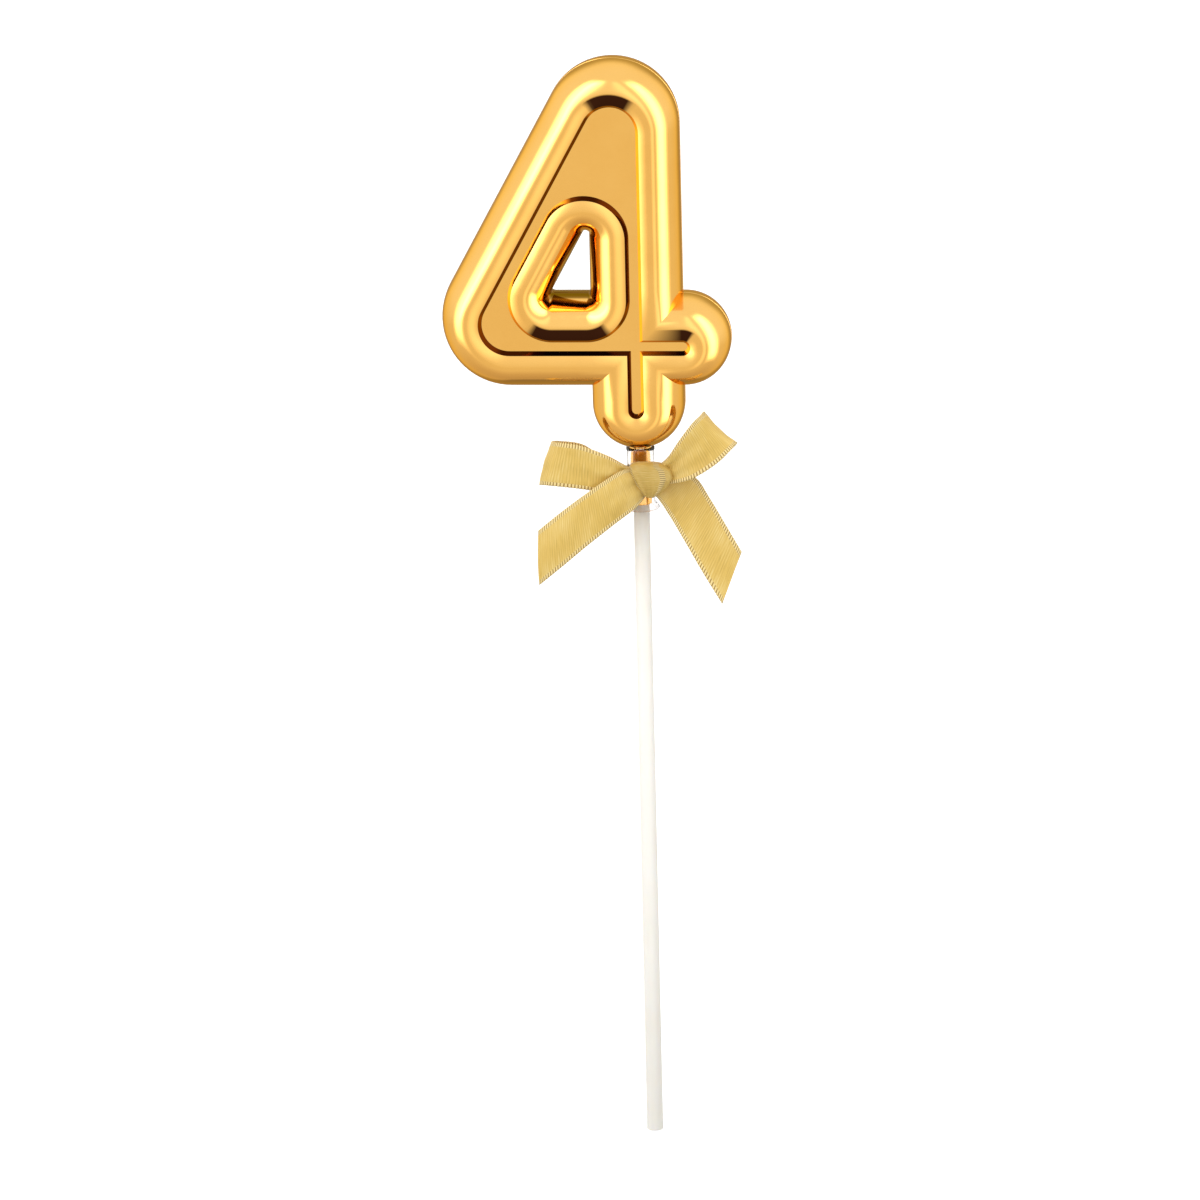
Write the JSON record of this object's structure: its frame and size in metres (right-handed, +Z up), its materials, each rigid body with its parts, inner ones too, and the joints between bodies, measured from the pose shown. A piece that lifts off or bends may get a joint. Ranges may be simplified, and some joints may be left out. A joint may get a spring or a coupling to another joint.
{
  "type": "number cake topper",
  "caption": "Hollow gold digit cake topper: two moulded shells on a clear neck sleeve and a plastic stick, with a satin ribbon bow tied round the neck.",
  "frame": {"origin": "centre of the stick's lower end", "axes": "+Z up along the stick, the digit's face looks towards -Y, +X to the right as the digit is read"},
  "size_m": [0.0643, 0.0199, 0.2406],
  "materials": {
    "gold": "mirror gold, vacuum metallised under a clear coat",
    "clear_plastic": "clear, glossy",
    "ivory_plastic": "satin, extruded",
    "satin": "gold satin ribbon with woven edges"
  },
  "bodies": {
    "stick": {"stick": "ivory_plastic"},
    "neck": {"neck_sleeve": "clear_plastic"},
    "digit": {"front_shell": "gold", "back_shell": "gold"},
    "bow": {"bow_band": "satin", "bow_knot": "satin", "bow_loop_left": "satin", "bow_loop_right": "satin", "bow_tail_left": "satin", "bow_tail_right": "satin"}
  },
  "joints": [
    {"name": "neck_pull", "type": "slide", "parent": "stick", "child": "neck", "axis": [0, 0, 1], "range_m": [0, 0.009]},
    {"name": "digit_turn", "type": "hinge", "parent": "neck", "child": "digit", "pos_m": [0, 0, 0.147], "axis": [0, 0, 1], "continuous": true},
    {"name": "bow_turn", "type": "hinge", "parent": "neck", "child": "bow", "pos_m": [0, 0, 0.1455], "axis": [0, 0, 1], "continuous": true}
  ]
}
